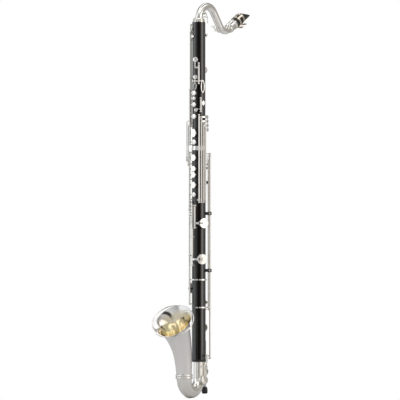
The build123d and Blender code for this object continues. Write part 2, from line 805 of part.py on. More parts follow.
with BuildPart() as peg_holder:
    with BuildSketch(Plane.XY.offset(peg_holder_low)):
        with Locations((0, peg_stand)):
            Circle(peg_radius + peg_fit + peg_wall)
        with Locations((0, (peg_stand + bell_tube_radius) / 2)):
            Rectangle(6, peg_stand - bell_tube_radius + 3)
        Circle(bell_tube_radius + 1.6)
    extrude(amount=peg_holder_high - peg_holder_low)
    with BuildSketch(Plane.XY.offset(peg_holder_low - 1)):
        Circle(bell_tube_radius)
        with Locations((0, peg_stand)):
            Circle(peg_radius + peg_fit)
        with Locations((0, -30)):
            Rectangle(90, 78)
    extrude(amount=60, mode=Mode.SUBTRACT)
    with BuildSketch(Plane(origin=(0, peg_stand + 3, peg_screw_height), z_dir=(0, 1, 0))):
        Circle(4)
    extrude(amount=6)
    with BuildSketch(Plane(origin=(0, peg_stand, peg_screw_height), z_dir=(0, 1, 0))):
        Circle(2.04)
    extrude(amount=20, mode=Mode.SUBTRACT)
    with BuildSketch(Plane.XY.offset(peg_holder_low - 1)):
        with Locations((0, peg_stand)):
            Circle(peg_radius + peg_fit)
    extrude(amount=60, mode=Mode.SUBTRACT)
write(peg_holder, "peg_holder")

with BuildPart() as peg_screw:
    with BuildSketch(Plane(origin=(0, peg_stand + peg_radius + peg_fit + 0.2, peg_screw_height),
                           z_dir=(0, 1, 0))):
        Circle(2.0)
    extrude(amount=8)
    with BuildSketch(Plane(origin=(0, peg_stand + peg_radius + 6, peg_screw_height), z_dir=(0, 1, 0))):
        Ellipse(8.5, 3.6)
        Circle(4.4)
    extrude(amount=3.2)
    fillet(peg_screw.faces().sort_by(Axis.Y)[-1].edges(), 0.8)
write(peg_screw, "peg_screw")

with BuildPart() as floor_peg:
    with BuildSketch(Plane.XY.offset(peg_end)):
        with Locations((0, peg_stand)):
            Circle(peg_radius)
    extrude(amount=peg_length)
    chamfer(floor_peg.faces().sort_by(Axis.Z)[-1].edges(), 0.8)
write(floor_peg, "floor_peg")

with BuildPart() as peg_tip:
    with BuildSketch(side_view(peg_stand, peg_end - peg_tip_length)):
        with BuildLine():
            Line((0, 0), (peg_tip_radius - 4.5, 0))
            ThreePointArc((peg_tip_radius - 4.5, 0), (peg_tip_radius - 1.3, 1.3), (peg_tip_radius, 4.5))
            Line((peg_tip_radius, 4.5), (peg_tip_radius, peg_tip_length - 12))
            ThreePointArc((peg_tip_radius, peg_tip_length - 12),
                          (peg_tip_radius - 0.5, peg_tip_length - 5.5),
                          (peg_tip_radius - 2, peg_tip_length - 0.8))
            Polyline((peg_tip_radius - 2, peg_tip_length - 0.8), (peg_tip_radius - 2.7, peg_tip_length),
                     (0, peg_tip_length), (0, 0))
        make_face()
    revolve(axis=Axis((0, peg_stand, 0), (0, 0, 1)))
write(peg_tip, "peg_tip")


# ---- strap ring, thumb rest, rod guides ----------------------------------------------
strap_height = 223.0
strap_centre = upper_radius + 14.0
strap_eye = 5.0
with BuildPart() as strap_ring:
    with BuildSketch(Plane.YZ.offset(-2)):
        with Locations((strap_centre, strap_height)):
            Circle(strap_eye + 3)
        with Locations((upper_radius + 4, strap_height)):
            Rectangle(8, 9)
    extrude(amount=4)
    with BuildSketch(Plane.XY.offset(strap_height - 11)):
        with Locations((0, upper_radius)):
            Rectangle(12, 5)
    extrude(amount=22)
    with BuildSketch(Plane.YZ.offset(-9)):
        with Locations((strap_centre, strap_height)):
            Circle(strap_eye)
    extrude(amount=18, mode=Mode.SUBTRACT)
    add(disc(strap_height - 20, strap_height + 20, upper_radius), mode=Mode.SUBTRACT)
write(strap_ring, "strap_ring")

rest_top = -97.0
rest_bottom = -130.0
rest_reach = 25.0
with BuildPart() as thumb_rest:
    with BuildSketch(Plane.YZ.offset(-9)):
        with BuildLine():
            Polyline((lower_radius - 4, rest_bottom), (lower_radius + 3, rest_bottom),
                     (lower_radius + 3.5, rest_top - 13))
            ThreePointArc((lower_radius + 3.5, rest_top - 13), (lower_radius + 9, rest_top - 5),
                          (lower_radius + rest_reach, rest_top - 4))
            Polyline((lower_radius + rest_reach, rest_top - 4), (lower_radius + rest_reach + 1, rest_top),
                     (lower_radius + rest_reach - 8, rest_top + 1), (lower_radius + 6, rest_top + 4),
                     (lower_radius + 3, rest_top + 14), (lower_radius - 4, rest_top + 14),
                     (lower_radius - 4, rest_bottom))
        make_face()
    extrude(amount=18)
    add(disc(rest_bottom - 5, rest_top + 30, lower_radius), mode=Mode.SUBTRACT)
write(thumb_rest, "thumb_rest")

guide_heights = [-186.4, -348.8]
guide_height = 8.7
guide_fit = 0.12
with BuildPart() as rod_guides:
    for middle in guide_heights:
        with BuildSketch(Plane.XY.offset(middle - guide_height / 2)):
            with BuildLine():
                guide_rim = CenterArc((0, 0), lower_radius + 17, 114 - 90, 46)
                guide_base = CenterArc((0, 0), lower_radius, 114 - 90, 46)
                Line(guide_rim @ 0, guide_base @ 0)
                Line(guide_rim @ 1, guide_base @ 1)
            make_face()
            with Locations(around(*rod("thumb_c")), around(*rod("thumb_d"))):
                Circle(tube_radius + guide_fit, mode=Mode.SUBTRACT)
        extrude(amount=guide_height)
write(rod_guides, "rod_guides")


# ---- posts, rods and springs ---------------------------------------------------------
def turned_post(plane, stand, ball):
    """Post turned in one piece: thread, collar, stem and ball, standing on the wood."""
    shoulder = (ball ** 2 - post_stem ** 2) ** 0.5
    with BuildPart() as piece:
        with BuildSketch(plane):
            with BuildLine():
                Polyline((0, -post_depth), (post_stem, -post_depth), (post_stem, 0),
                         (post_stem + 0.7, 0), (post_stem + 0.7, 1.1), (post_stem, 1.7),
                         (post_stem, stand - shoulder))
                ThreePointArc((post_stem, stand - shoulder), (ball, stand), (0, stand + ball))
                Line((0, stand + ball), (0, -post_depth))
            make_face()
        revolve(axis=Axis(plane.origin, plane.y_dir))
    return piece.part


def post(name, angle, radius, height):
    """Post of a rod that runs up the bore, drilled for the rod, the tube or the spring."""
    base = wood_radius(height)
    held = carried(name, height)
    with BuildPart() as piece:
        add(turned_post(cutting(angle, base, height), radius - base, post_ball + 0.7 * held))
        with BuildSketch(Plane.XY.offset(height - 6)):
            with Locations(around(angle, radius)):
                Circle(tube_radius + 0.1 if held else rod_radius)
        extrude(amount=12, mode=Mode.SUBTRACT)
        if name in sprung and height == rods[name][2][0]:
            with BuildSketch(Plane.XY.offset(height - 6)):
                with Locations(around(angle, radius - spring_drop)):
                    Circle(spring_radius)
            extrude(amount=12, mode=Mode.SUBTRACT)
    return piece.part


sprung = ["upper_stack", "throat_a", "cross", "register", "side_1", "side_2", "lower_stack",
          "fs", "f", "eb", "thumb_c", "thumb_d", "thumb_cs"]
gs_axis_radius = upper_radius + 6.4
gs_way = Vector(cos(radians(throat_gs_angle)), sin(radians(throat_gs_angle)), 0)
gs_axis = around(throat_gs_angle, gs_axis_radius, throat_gs_height)

gs_posts = []
for side in (-1, 1):
    beside = cutting(throat_gs_angle, upper_radius, throat_gs_height)
    gs_plane = Plane(origin=beside.origin + gs_way * side * throat_gs_reach,
                     x_dir=beside.x_dir, z_dir=beside.z_dir)
    with BuildPart() as gs_post:
        add(turned_post(gs_plane, gs_axis_radius - upper_radius, 2.6))
        add(pin_tool(gs_axis, gs_way, 20, rod_radius), mode=Mode.SUBTRACT)
    gs_posts.append(gs_post.part)

with BuildPart() as posts:
    add([post(*spot) for spot in post_list])
    add(gs_posts)
write(posts, "posts")

with BuildPart() as hinge_rods:
    for name, (angle, radius, heights) in rods.items():
        with BuildSketch(Plane.XY.offset(min(heights) - post_ball + 0.4)):
            with Locations(around(angle, radius)):
                Circle(rod_radius)
        extrude(amount=max(heights) - min(heights) + 2 * post_ball - 0.8)
    add(pin_tool(gs_axis, gs_way, throat_gs_reach + 1.6, rod_radius))
    add(pin_tool(neck_key_axis, neck_key_way, small_half, small_pin))
    add(pin_tool(water_pivot, water_way, small_half, small_pin))
    add(pin_tool(low_c_axis, low_c_way, 8.4, rod_radius))
write(hinge_rods, "hinge_rods")

with BuildPart() as needle_springs:
    for name in sprung:
        angle, radius, heights = rods[name]
        with BuildSketch(Plane.XY.offset(heights[0] - spring_length)):
            with Locations(around(angle, radius - spring_drop)):
                Circle(spring_radius)
        extrude(amount=spring_length + post_stem + 0.6)
write(needle_springs, "needle_springs")


# ---- keys ---------------------------------------------------------------------------
def rod_axis(name):
    angle, radius = rod(name)
    return Axis(around(angle, radius), (0, 0, 1))


def write_pad(name, piece, axis, rest_turn):
    with BuildPart() as turned:
        add(piece.rotate(axis, rest_turn))
    write(turned, name)


def upper_cup(angle, height, size):
    return cup(angle, cup_rim(height), height, size)


def arm(start, end, height, width=arm_width):
    return strap(start, end, wood_radius(height) + arm_stand, height, width)


def arched_arm(start, end, height, width=5.5):
    """Arm of a big cup: it passes over the rim and stands on the middle of the cup."""
    crest = wood_radius(height) + arch_stand
    crown_top = cup_rim(height) + cup_height
    with BuildPart() as boss:
        with BuildSketch(facing(end, crown_top, height)):
            Circle(width / 2 + 0.6)
        extrude(amount=crest + arm_thickness / 2 - crown_top)
    beyond = 8 if end > start else -8
    return [strap(start, end + beyond, crest, height, width), boss.part]


def between(low_post, high_post):
    """Ends of a hinge tube that fills the space between two posts."""
    return low_post + post_ball + tube_gap, high_post - post_ball - tube_gap


def plate_key(name, rod_name, low, high, plates):
    """Open-standing finger key: plates as (height, cup diameter, length of the touch)."""
    pieces = []
    for height, size, length in plates:
        pieces.append(upper_cup(0, height, size))
        pieces.append(arm(stack_angle, -4, height))
        if length > size:
            pieces.append(touch(0, cup_rim(height) + cup_height - 0.6, height, length, size - 0.6))
    key(name, rod(rod_name), low, high, pieces, -open_angle)


stack = rods["upper_stack"][2]
plate_key("index_plate", "upper_stack", 134, between(0, stack[0])[1],
          [(156.5, 14.5, 0), (141.5, 10.5, 0)])
plate_key("middle_plate", "upper_stack", between(stack[1], 0)[0], 133, [(123.7, 13.5, 0)])
plate_key("ring_plate", "upper_stack", *between(stack[2], stack[1]), [(89.8, 14.5, 0)])
plate_key("long_plate", "upper_stack", 30, between(0, stack[2])[1], [(42.8, 17, 24)])
plate_key("bridge_plate", "upper_stack", between(stack[3], 0)[0], 29, [(17.1, 15, 0)])

low_stack = rods["lower_stack"][2]
plate_key("right_index_plate", "lower_stack", *between(low_stack[1], low_stack[0]), [(-27.6, 16, 19)])
plate_key("right_middle_plate", "lower_stack", *between(low_stack[2], low_stack[1]),
          [(-59.3, 15, 16.6), (-76.5, 14.5, 17)])
plate_key("right_ring_plate", "lower_stack", *between(low_stack[3], low_stack[2]),
          [(-105.5, 16, 19), (-132.5, 13.5, 0)])

key_rim = upper_radius + arm_stand
key("throat_a_key", rod("throat_a"), *between(*reversed(rods["throat_a"][2])), [
    upper_cup(8, 251.7, 15), arm(34, 8, 229),
    bar([around(8, key_rim + 1, 229), around(8, key_rim + 1.2, 248)], 1.5),
    arm(34, 58, 191), loop(62, key_rim - 0.4, 175, 36, 12, 2.4)])

key("cross_key", rod("cross"), *between(*reversed(rods["cross"][2])), [
    upper_cup(12, 108, 10), arm(47, 16, 111, 3.4), arm(47, 64, 130, 3.4),
    touch(66, key_rim + 0.3, 128, 14, 8)])

key("register_key", rod("register"), *between(*reversed(rods["register"][2])), [
    upper_cup(125, 322, 9.5), arm(205, 128, 322), arm(205, 182, 181),
    touch(180, key_rim + 0.4, 181, 17, 11)])

side_reach = upper_radius + 17.0
for number, cup_angle, cup_height_at, lever_angle_at, lever_end in (
        (1, -28, 318, -74, -24), (2, -44, 340, -90, -36)):
    long_side = rods[f"side_{number}"]
    low_end = between(long_side[2][2], 0)[0]
    turn_height = low_end + 4
    key(f"side_key_{number}", long_side[:2], low_end, between(0, long_side[2][0])[1], [
        upper_cup(cup_angle, cup_height_at, 12), arm(long_side[0], cup_angle - 4, cup_height_at),
        bar([around(long_side[0], long_side[1], turn_height),
             around(lever_angle_at, side_reach, turn_height - 4),
             around(lever_angle_at, side_reach, lever_end)], 1.5),
        touch(lever_angle_at, side_reach - 0.6, lever_end - 6, 19, 9)])

lever_reach = long_rod - 1.6
for number, (bearing, tongue_angle, size) in enumerate(
        ((36, 92, (11, 16)), (50, 98, (11, 13)), (64, 100, (10, 15)), (78, 104, (12, 12))), start=1):
    lever_rod = rods[f"left_{number}"]
    top = between(0, lever_rod[2][0])[1]
    low = between(lever_rod[2][1], 0)[0]
    bridge = bearing - 14 if number == 1 else bearing - 9
    key(f"left_lever_{number}", lever_rod[:2], low, top,
        tongue(bearing, tongue_angle, lever_reach, top - 2.4, *size)
        + [strap(bearing, bridge, lower_radius + arm_stand, low + 3, 4)])

paddle_rod = rods["lower_stack"]
paddle_top = between(0, low_stack[3])[1]
paddle_low = between(low_stack[4], 0)[0]
paddle_step = (paddle_top - paddle_low + tube_gap) / 3
for number, (bearing, lean, size) in enumerate(
        ((-86, 4, (10, 17)), (-84, 0, (10, 15)), (-80, -4, (10, 14))), start=1):
    high = paddle_top - (number - 1) * paddle_step
    low = high - paddle_step + tube_gap
    middle = (low + high) / 2
    key(f"right_paddle_{number}", paddle_rod[:2], low, high,
        tongue(stack_angle, bearing, lower_rod + 0.2, middle, *size, lean)
        + [strap(stack_angle, -22, lower_radius + arm_stand, middle, 4)])

key("fs_key", rod("fs"), *between(*reversed(rods["fs"][2])), [
    cup(72, cup_rim(-214), -214, 29), *arched_arm(8, 72, -214)], -big_open_angle)
write_pad("fs_pad", pad(72, cup_rim(-214), -214, 29), rod_axis("fs"), -big_open_angle)
key("f_key", rod("f"), between(rods["f"][2][2], 0)[0], between(0, rods["f"][2][0])[1], [
    cup(60, cup_rim(-316.6), -316.6, 30), *arched_arm(-9, 60, -316.6)], -big_open_angle)
write_pad("f_pad", pad(60, cup_rim(-316.6), -316.6, 30), rod_axis("f"), -big_open_angle)
key("eb_key", rod("eb"), between(rods["eb"][2][3], 0)[0], between(0, rods["eb"][2][0])[1], [
    cup(-88, cup_rim(-400), -400, 28), *arched_arm(stack_angle, -88, -400),
    arm(stack_angle, 96, -375, 3.6)], big_open_angle)

thumb_reach = lower_radius + 14.0
key("thumb_c_key", rod("thumb_c"), between(rods["thumb_c"][2][1], 0)[0],
    between(0, rods["thumb_c"][2][0])[1], [
        strap(124, 166, thumb_reach, -24, 4), touch(168, thumb_reach + 0.3, -24, 8.6, 15),
        strap(166, 170, thumb_reach, -29, 13), touch(168, thumb_reach + 0.3, -34, 8.6, 15),
        strap(124, 78, lower_radius + 8.6, foot + 17, 4)])
key("thumb_d_key", rod("thumb_d"), between(rods["thumb_d"][2][1], 0)[0],
    between(0, rods["thumb_d"][2][0])[1], [
        strap(150, 168, lower_radius + 12, -45.5, 4), touch(168, lower_radius + 12.6, -45.5, 9, 14),
        upper_cup(178, -440, 21), *arched_arm(150, 178, -440),
        bar([around(150, lower_radius + 11.4, -454), around(146, lower_radius + 7, -454)], 1.7),
        strap(150, 22, lower_radius + 6.2, -454, 3.4)], -big_open_angle)
key("thumb_cs_key", rod("thumb_cs"), between(rods["thumb_cs"][2][1], 0)[0],
    between(0, rods["thumb_cs"][2][0])[1], [
        strap(212, 180, lower_radius + 10, -56, 4), touch(176, lower_radius + 10.4, -57, 9, 14),
        upper_cup(178, -512, 24), *arched_arm(212, 178, -512)],
    big_open_angle)


# ---- keys that rock about a cross pin -------------------------------------------------
def rocking_key(name, middle, direction, pin, half, pieces, rest_turn=0.0):
    with BuildPart() as metal:
        add(pin_tool(middle, direction, half, pin + 1.3))
        add(pieces)
        add(pin_tool(middle, direction, half + 3, pin + rod_fit), mode=Mode.SUBTRACT)
    with BuildPart() as turned:
        add(metal.part.rotate(Axis(middle, direction), rest_turn))
    write(turned, name)


rocking_key("throat_gs_key", gs_axis, gs_way, rod_radius, throat_gs_reach - 3.0, [
    upper_cup(8, 201.5, 13), bar([gs_axis, around(8, key_rim + 1, 199)], 1.5),
    bar([gs_axis, around(8, key_rim + 2.4, 184)], 1.5),
    loop(8, key_rim + 1.6, 176, 21, 11, 2.3)])

rocking_key("neck_key", neck_key_axis, neck_key_way, small_pin, 3.0, [
    cup(neck_key_angle, neck_key_seat + pad_gap + pad_proud, neck_key_height, 9.5),
    bar([neck_key_axis, around(neck_key_angle, neck_key_stand - 2.6, neck_key_height)], 1.3),
    bar([neck_key_axis, around(neck_key_angle, neck_key_stand + 2.5, neck_key_pivot - 17)], 1.3)])

water_plane = Plane(origin=water_seat + water_out * (pad_gap + 0.5), z_dir=water_out)
water_cup_radius = 4.2
water_cup_height = 2.6
water_touch = water_pivot + Vector(0, -20.5, 11.2)
with BuildPart() as water_cup:
    with BuildSketch(water_plane):
        Circle(water_cup_radius)
    extrude(amount=water_cup_height)
    with BuildSketch(water_plane):
        Circle(water_cup_radius - 0.7)
    extrude(amount=water_cup_height - 1.2, mode=Mode.SUBTRACT)
rocking_key("water_key", water_pivot, water_way, small_pin, 3.0, [
    water_cup.part, bar([water_pivot, water_plane.origin + water_out * (water_cup_height + 0.4)], 1.3),
    bar([water_pivot, water_touch], 1.3), pin_tool(water_touch, water_way, 5.5, 2.0)])

low_c_cup = cup(low_c_angle, low_c_seat + pad_gap + pad_proud, low_c_height, low_c_diameter)
rocking_key("low_c_key", low_c_axis, low_c_way, rod_radius, 3.4, [
    low_c_cup, bar([low_c_axis, around(low_c_angle, low_c_seat + 5.3, low_c_height + 3)], 1.8),
    bar([low_c_axis, around(low_c_angle, lower_radius + 15.0, foot + 4),
         around(low_c_angle, lower_radius + 15.0, foot + 21)], 1.7)], -low_c_open)

write_pad("low_c_pad", pad(low_c_angle, low_c_seat + pad_gap + pad_proud, low_c_height,
                           low_c_diameter), Axis(low_c_axis, low_c_way), -low_c_open)

print(len(parts_made), "pieces written")
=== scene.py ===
import json
from math import cos, pi, radians, sin

import bmesh
import bpy
from mathutils import Matrix, Vector


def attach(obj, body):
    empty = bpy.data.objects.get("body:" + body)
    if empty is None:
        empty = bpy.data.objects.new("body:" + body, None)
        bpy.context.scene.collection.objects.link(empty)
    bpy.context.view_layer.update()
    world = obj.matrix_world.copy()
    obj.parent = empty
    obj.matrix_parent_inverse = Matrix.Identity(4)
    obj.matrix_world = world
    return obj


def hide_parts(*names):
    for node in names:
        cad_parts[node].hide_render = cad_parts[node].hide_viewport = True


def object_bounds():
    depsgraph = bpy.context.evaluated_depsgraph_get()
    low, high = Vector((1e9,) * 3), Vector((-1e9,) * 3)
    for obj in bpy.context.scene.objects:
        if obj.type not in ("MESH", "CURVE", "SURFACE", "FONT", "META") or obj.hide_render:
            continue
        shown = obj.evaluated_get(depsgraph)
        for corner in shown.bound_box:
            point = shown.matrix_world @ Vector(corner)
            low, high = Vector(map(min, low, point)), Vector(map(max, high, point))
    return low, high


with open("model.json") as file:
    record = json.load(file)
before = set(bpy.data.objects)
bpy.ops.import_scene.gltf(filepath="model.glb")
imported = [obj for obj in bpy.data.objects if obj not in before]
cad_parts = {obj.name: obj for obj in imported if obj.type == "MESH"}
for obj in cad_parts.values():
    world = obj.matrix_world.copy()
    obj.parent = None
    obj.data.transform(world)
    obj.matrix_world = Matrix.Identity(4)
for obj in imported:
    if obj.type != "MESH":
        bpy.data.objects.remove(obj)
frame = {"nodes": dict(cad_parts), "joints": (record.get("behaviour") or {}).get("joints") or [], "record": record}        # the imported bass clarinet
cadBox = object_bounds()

mm = 0.001
nodes = frame["nodes"]
joints = {joint["child"]: joint for joint in frame["joints"]}
print("frame loaded:", len(nodes), "pieces")


# +Z runs up the bore, the tone holes face -Y, and a bearing turns from the front towards +X
def around(bearing, radius, height=0.0):
    turn = radians(bearing)
    return Vector((radius * sin(turn), -radius * cos(turn), height))


def standingOut(spot, out, up=Vector((0, 0, 1))):
    # matrix that puts a piece made along +Z on a spot, pointing out, with its x along up
    out = out.normalized()
    along = (up - out * up.dot(out)).normalized()
    across = out.cross(along)
    turned = Matrix((along, across, out)).transposed().to_4x4()
    return Matrix.Translation(spot) @ turned


# shader helpers
def put(tree, kind, inputs=None, **settings):
    made = tree.nodes.new(kind)
    for name, value in settings.items():
        setattr(made, name, value)
    for socket, value in (inputs or {}).items():
        if isinstance(value, bpy.types.NodeSocket):
            tree.links.new(value, made.inputs[socket])
        else:
            made.inputs[socket].default_value = value
    return made


def sums(tree, operation, first, second=0.0, clamp=False):
    return put(tree, "ShaderNodeMath", {0: first, 1: second}, operation=operation,
               use_clamp=clamp).outputs[0]


def between(tree, value, low, high, outLow=0.0, outHigh=1.0):
    return put(tree, "ShaderNodeMapRange", {"Value": value, "From Min": low, "From Max": high,
                                            "To Min": outLow, "To Max": outHigh}).outputs["Result"]


def blendColour(tree, share, first, second):
    made = put(tree, "ShaderNodeMix", {"Factor": share}, data_type="RGBA")
    for socket, value in ((made.inputs[6], first), (made.inputs[7], second)):
        if isinstance(value, bpy.types.NodeSocket):
            tree.links.new(value, socket)
        else:
            socket.default_value = (*value, 1)
    return made.outputs[2]


def newGroup(name, inputs, outputs):
    tree = bpy.data.node_groups.new(name, "ShaderNodeTree")
    for label, value in inputs.items():
        made = tree.interface.new_socket(label, in_out="INPUT", socket_type="NodeSocketFloat")
        made.default_value = value
    for label in outputs:
        tree.interface.new_socket(label, in_out="OUTPUT", socket_type="NodeSocketFloat")
    return tree, tree.nodes.new("NodeGroupInput"), tree.nodes.new("NodeGroupOutput")


def place(tree, group, **values):
    made = put(tree, "ShaderNodeGroup", node_tree=group)
    for label, value in values.items():
        made.inputs[label[0].upper() + label[1:]].default_value = value
    return made


def stretched(tree, scaleSocket, across, along):
    # object coordinates squeezed across or along the bore, so that a pattern runs with it
    where = put(tree, "ShaderNodeTexCoord").outputs["Object"]
    fit = put(tree, "ShaderNodeMapping", {"Vector": where, "Scale": (across, across, along)})
    return put(tree, "ShaderNodeVectorMath", {0: fit.outputs[0], "Scale": scaleSocket},
               operation="SCALE").outputs[0]


# effects that several finishes share
def makeCornerShadeAndTarnish():
    # 0 on open faces, 1 deep in corners: painted shade in the corners, which also stands for the tarnish
    #                                     and dust that collect there
    tree, given, out = newGroup("cornerShadeAndTarnish", {"Reach": 0.006, "Strength": 1.0}, ["Mask"])
    shade = put(tree, "ShaderNodeAmbientOcclusion", {"Distance": given.outputs["Reach"]}, samples=4)
    deep = sums(tree, "SUBTRACT", 1.0, shade.outputs["AO"])
    tree.links.new(sums(tree, "MULTIPLY", deep, given.outputs["Strength"], True), out.inputs["Mask"])
    return tree


def makeHandling():
    # cloudy smudges and hair-fine rub marks left by hands and cloths
    tree, given, out = newGroup("handling", {"Size": 60.0}, ["Smudge", "Rub"])
    where = stretched(tree, given.outputs["Size"], 1, 0.6)
    cloud = put(tree, "ShaderNodeTexNoise", {"Vector": where, "Scale": 1.0, "Detail": 5.0,
                                             "Roughness": 0.6, "Distortion": 0.4})
    tree.links.new(between(tree, cloud.outputs[0], 0.36, 0.66), out.inputs["Smudge"])
    fine = put(tree, "ShaderNodeTexNoise", {"Vector": where, "Scale": 38.0, "Detail": 2.0,
                                            "Roughness": 0.7, "Distortion": 1.2})
    tree.links.new(fine.outputs[0], out.inputs["Rub"])
    return tree


def makeFibre():
    # long streaks along the bore with short open pores between them
    tree, given, out = newGroup("fibre", {"Size": 300.0}, ["Streak", "Pore"])
    where = stretched(tree, given.outputs["Size"], 1, 0.03)
    streak = put(tree, "ShaderNodeTexNoise", {"Vector": where, "Scale": 1.0, "Detail": 6.0,
                                              "Roughness": 0.62, "Distortion": 0.3})
    tree.links.new(between(tree, streak.outputs[0], 0.34, 0.68), out.inputs["Streak"])
    dashes = stretched(tree, given.outputs["Size"], 6, 0.35)
    pore = put(tree, "ShaderNodeTexVoronoi", {"Vector": dashes, "Scale": 1.0})
    tree.links.new(between(tree, pore.outputs["Distance"], 0.05, 0.22, 1.0, 0.0), out.inputs["Pore"])
    return tree


def makeGranule():
    # crumbs of cork, or the fine bloom of rubber and plastic
    tree, given, out = newGroup("granule", {"Size": 900.0}, ["Crumb", "Bloom"])
    where = stretched(tree, given.outputs["Size"], 1, 1)
    crumb = put(tree, "ShaderNodeTexVoronoi", {"Vector": where, "Scale": 1.0, "Randomness": 1.0})
    tree.links.new(between(tree, crumb.outputs["Distance"], 0.1, 0.75), out.inputs["Crumb"])
    bloom = put(tree, "ShaderNodeTexNoise", {"Vector": where, "Scale": 2.4, "Detail": 4.0})
    tree.links.new(bloom.outputs[0], out.inputs["Bloom"])
    return tree


cornerShadeAndTarnish, handling, fibre, granule = makeCornerShadeAndTarnish(), makeHandling(), makeFibre(), makeGranule()


# finishes
def newFinish(name, metallic=0.0, **constants):
    made = bpy.data.materials.new(name)
    made.use_nodes = True
    tree = made.node_tree
    skin = tree.nodes["Principled BSDF"]
    skin.inputs["Metallic"].default_value = metallic
    for label, value in constants.items():
        skin.inputs[label.replace("_", " ")].default_value = value
    return made, tree, skin


def bump(tree, skin, height, strength, depth):
    made = put(tree, "ShaderNodeBump", {"Height": height, "Strength": strength, "Distance": depth * mm})
    tree.links.new(made.outputs[0], skin.inputs["Normal"])


plateWearAndShade = {
    "patch": 70.0,                  # smudges to the metre
    "corner": 0.005,                # how near two faces are where painted shade and tarnish darken the plate
    "cast": (0.96, 0.93, 0.88),     # tone of a smudge against clean plate
    "cloud": 0.35,
    "rub": 0.015,
    "rubDepth": 0.05,
}


def plated(name, bright, dull, polish, shadeAndTarnish, warmInside=None):
    # silver plate: bright on open faces, browner in corners with painted shade and tarnish, with smudges
    # in the polish
    made, tree, skin = newFinish(name, metallic=1.0)
    marks = place(tree, handling, size=plateWearAndShade["patch"])
    corner = place(tree, cornerShadeAndTarnish, reach=plateWearAndShade["corner"], strength=shadeAndTarnish)
    # painted shade and tarnish: the ambient occlusion mask blends the plate towards its dull tone in
    # corners
    colour = blendColour(tree, corner.outputs["Mask"], bright, dull)
    cast = tuple(part * tone for part, tone in zip(bright, plateWearAndShade["cast"]))
    cloud = sums(tree, "MULTIPLY", marks.outputs["Smudge"], plateWearAndShade["cloud"])
    colour = blendColour(tree, cloud, colour, cast)
    if warmInside:
        colour = blendColour(tree, insideBell(tree), colour, warmInside)
    tree.links.new(colour, skin.inputs["Base Color"])
    haze = between(tree, marks.outputs["Smudge"], 0, 1, *polish)
    tree.links.new(haze, skin.inputs["Roughness"])
    bump(tree, skin, marks.outputs["Rub"], plateWearAndShade["rub"], plateWearAndShade["rubDepth"])
    return made


bell = {
    "ringSpot": (-0.074, -0.656),     # y and z where the flare leaves its ring
    "lean": 0.0565,                   # the middle line's whole way forward
    "rise": 0.165,
    "swing": 2.6,                     # how late it leans
    "mouthTilt": 48.0,
    "lip": (0.004, 0.019),            # where the warm lacquer starts and is whole, behind the rim
    "turnOver": (0.002, -0.004),      # from the outside to the inside
}


def insideBell(tree):
    # 1 where a face looks at the flare's curved middle line, 0 on the outside
    where = put(tree, "ShaderNodeSeparateXYZ",
                {0: put(tree, "ShaderNodeTexCoord").outputs["Object"]}).outputs
    face = put(tree, "ShaderNodeSeparateXYZ",
               {0: put(tree, "ShaderNodeNewGeometry").outputs["Normal"]}).outputs
    share = between(tree, where["Z"], bell["ringSpot"][1], bell["ringSpot"][1] + bell["rise"])
    drift = sums(tree, "MULTIPLY", sums(tree, "POWER", share, bell["swing"]), bell["lean"])
    middle = sums(tree, "SUBTRACT", bell["ringSpot"][0], drift)
    offset = sums(tree, "SUBTRACT", where["Y"], middle)
    facing = sums(tree, "ADD", sums(tree, "MULTIPLY", offset, face["Y"]),
                  sums(tree, "MULTIPLY", where["X"], face["X"]))
    turn = radians(bell["mouthTilt"])
    back = sums(tree, "SUBTRACT", where["Y"], bell["ringSpot"][0] - bell["lean"])
    above = sums(tree, "SUBTRACT", where["Z"], bell["ringSpot"][1] + bell["rise"])
    fromRim = sums(tree, "SUBTRACT", sums(tree, "MULTIPLY", back, sin(turn)),
                   sums(tree, "MULTIPLY", above, cos(turn)))
    return sums(tree, "MULTIPLY", between(tree, facing, *bell["turnOver"]),
                between(tree, fromRim, *bell["lip"]))


silverTones = {
    "bright": (0.95, 0.935, 0.905),
    # dull: tone of the painted corner shade and tarnish
    "dull": (0.40, 0.33, 0.25),
    "bodyPolish": (0.09, 0.17),
    "keyPolish": (0.08, 0.16),
    "bellBright": (0.975, 0.96, 0.955),
    "bellInside": (0.97, 0.89, 0.69),
}
silver = plated("silverPlate", silverTones["bright"], silverTones["dull"], silverTones["bodyPolish"], 0.8)
keySilver = plated("keySilver", silverTones["bright"], silverTones["dull"], silverTones["keyPolish"], 0.9)
bellSilver = plated("bellSilver", silverTones["bellBright"], silverTones["dull"],
                    silverTones["bodyPolish"], 0.5, silverTones["bellInside"])
champagne = plated("champagnePlate", (0.88, 0.80, 0.68), (0.36, 0.26, 0.17), (0.14, 0.24), 0.9)
steel = plated("blueSteel", (0.56, 0.57, 0.60), (0.20, 0.18, 0.17), (0.22, 0.34), 0.6)


woodShine = {
    "bare": 0.12,              # gloss of the oiled wood under its polish
    "ior": 1.9,
    "satin": 0.19,
    "slant": (0.012, 0.09),    # how far a face leans away before its polish shows
    "level": (0.03, 0.85),
}
woodGrain = {
    "fibres": 420.0,
    "patch": 22.0,
    "pore": (0.0012, 0.0010, 0.0008),
    "cloud": 0.07,
    "relief": (0.10, 0.05),    # strength, and depth in millimetres
}


